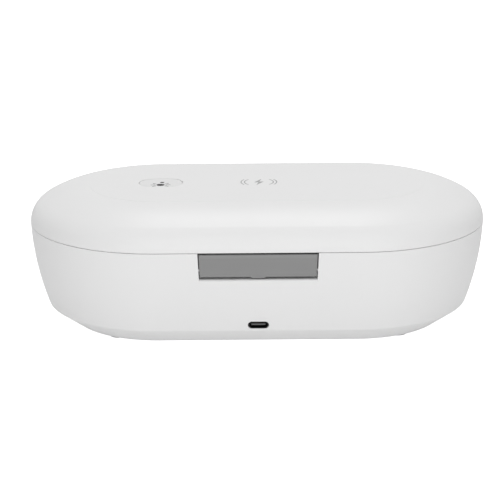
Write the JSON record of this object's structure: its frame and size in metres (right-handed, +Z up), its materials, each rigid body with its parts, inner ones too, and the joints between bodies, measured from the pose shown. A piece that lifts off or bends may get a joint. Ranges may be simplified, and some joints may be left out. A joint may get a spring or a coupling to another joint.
{
  "type": "uv sanitizer box",
  "caption": "Stadium-shaped UV sanitizer box with a rear-hinged lid, an oval push button and charging pad on top, and a USB-C inlet in the rear wall.",
  "frame": {"origin": "on the surface that the feet stand on, under the middle of the box", "axes": "+X along the length, towards the button; +Y to the rear, where the hinge and inlet are; +Z up"},
  "size_m": [0.226, 0.13, 0.0678],
  "materials": {
    "casing": "satin white ABS, fine even grain",
    "button_white": "satin white ABS, a shade darker than the casing",
    "hinge_grey": "satin mid-grey moulding",
    "reflector": "plastic with a vacuum-metallised reflecting skin",
    "foot_rubber": "grey silicone",
    "rest_silicone": "pale translucent silicone",
    "circuit_board": "green solder mask",
    "lamp_package": "ceramic lamp package",
    "quartz": "fused quartz",
    "screw_steel": "zinc-plated steel",
    "chip_black": "black moulding compound",
    "usb_plastic": "grey moulded insert",
    "capacitor_tan": "ceramic chip capacitor",
    "socket_white": "natural nylon or acetal",
    "usb_steel": "drawn steel sleeve, black plated",
    "magnet_nickel": "nickel-plated magnet",
    "ferrite_grey": "sintered ferrite",
    "coil_copper": "enamelled copper wire",
    "wire_sheath": "thin black wire sheath"
  },
  "bodies": {
    "base": {"base_shell": "casing", "foot_front_left": "foot_rubber", "foot_rear_left": "foot_rubber", "foot_front_right": "foot_rubber", "foot_rear_right": "foot_rubber", "rim_frame": "casing", "base_liner": "reflector", "phone_rests": "rest_silicone", "base_led_boards": "circuit_board", "base_uv_leds": "lamp_package", "base_led_windows": "quartz", "base_led_screws": "screw_steel", "main_board": "circuit_board", "control_chip": "chip_black", "power_inductor": "chip_black", "board_capacitors": "capacitor_tan", "board_connectors": "socket_white", "board_screws": "screw_steel", "usb_shell": "usb_steel", "usb_tongue": "usb_plastic", "base_screws": "screw_steel", "base_magnets": "magnet_nickel", "lid_sensor": "chip_black", "hinge_pin": "screw_steel", "base_harness": "wire_sheath"},
    "lid": {"lid_shell": "casing", "hinge_block": "hinge_grey", "hinge_bushes": "socket_white", "hinge_screws": "screw_steel", "lid_liner": "reflector", "lid_led_boards": "circuit_board", "lid_uv_leds": "lamp_package", "lid_led_windows": "quartz", "lid_led_screws": "screw_steel", "liner_screws": "screw_steel", "charger_board": "circuit_board", "charger_chips": "chip_black", "ferrite_plate": "ferrite_grey", "charging_coil": "coil_copper", "charger_screws": "screw_steel", "lid_magnets": "magnet_nickel", "sensor_magnet": "magnet_nickel", "button_board": "circuit_board", "button_board_screws": "screw_steel", "tact_switch": "chip_black", "lid_harness": "wire_sheath"},
    "button": {"button_cap": "button_white", "switch_plunger": "socket_white"}
  },
  "joints": [
    {"name": "lid_hinge", "type": "hinge", "parent": "base", "child": "lid", "pos_m": [0, 0.0615, 0.0413], "axis": [-1, 0, 0], "range_deg": [0, 100]},
    {"name": "button_press", "type": "slide", "parent": "lid", "child": "button", "axis": [0, 0, -1], "range_m": [0, 0.0006], "stiffness_N_per_m": 1500}
  ]
}
